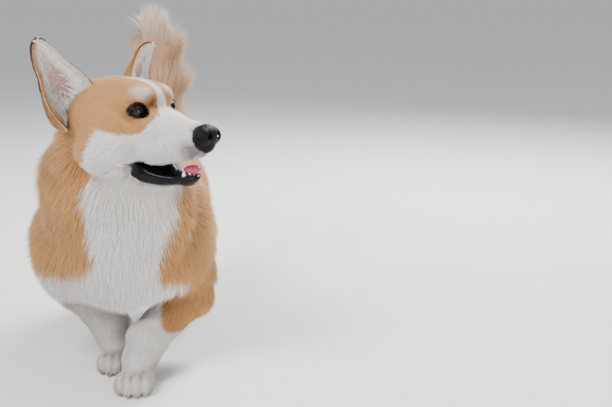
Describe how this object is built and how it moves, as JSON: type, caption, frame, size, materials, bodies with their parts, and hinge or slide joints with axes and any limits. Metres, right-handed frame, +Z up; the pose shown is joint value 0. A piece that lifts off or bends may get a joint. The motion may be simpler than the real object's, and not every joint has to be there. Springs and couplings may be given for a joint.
{
  "type": "pembroke welsh corgi",
  "caption": "Life-size Pembroke Welsh Corgi, mid-step with its head turned to its left, mouth a little open, ears up and tail raised, as a still model",
  "frame": {"origin": "on the floor, under the middle of the dog's bounding box", "axes": "+Z up; the dog walks towards -Y, so +Y runs from its chest to its tail; +X is its left side"},
  "size_m": [0.2304, 0.5104, 0.4386],
  "materials": {
    "tan_coat": "soft fur",
    "white_coat": "soft fur",
    "eye": "wet gloss",
    "nose_leather": "moist pebbled",
    "tongue": "moist"
  },
  "bodies": {
    "root": {"torso": "tan_coat", "shoulder_left": "tan_coat", "thigh_left": "tan_coat", "shoulder_right": "tan_coat", "thigh_right": "tan_coat", "eye_left": "eye", "eye_right": "eye", "head": "tan_coat", "lower_jaw": "white_coat", "tongue": "tongue", "neck": "tan_coat", "ear_left": "tan_coat", "ear_right": "tan_coat", "nose": "nose_leather", "tail": "tan_coat", "foreleg_left": "white_coat", "paw_foreleg_left": "white_coat", "foreleg_right": "white_coat", "paw_foreleg_right": "white_coat", "hindleg_left": "white_coat", "hindhock_left": "white_coat", "paw_hindleg_left": "white_coat", "hindleg_right": "white_coat", "hindhock_right": "white_coat", "paw_hindleg_right": "white_coat"}
  },
  "joints": []
}
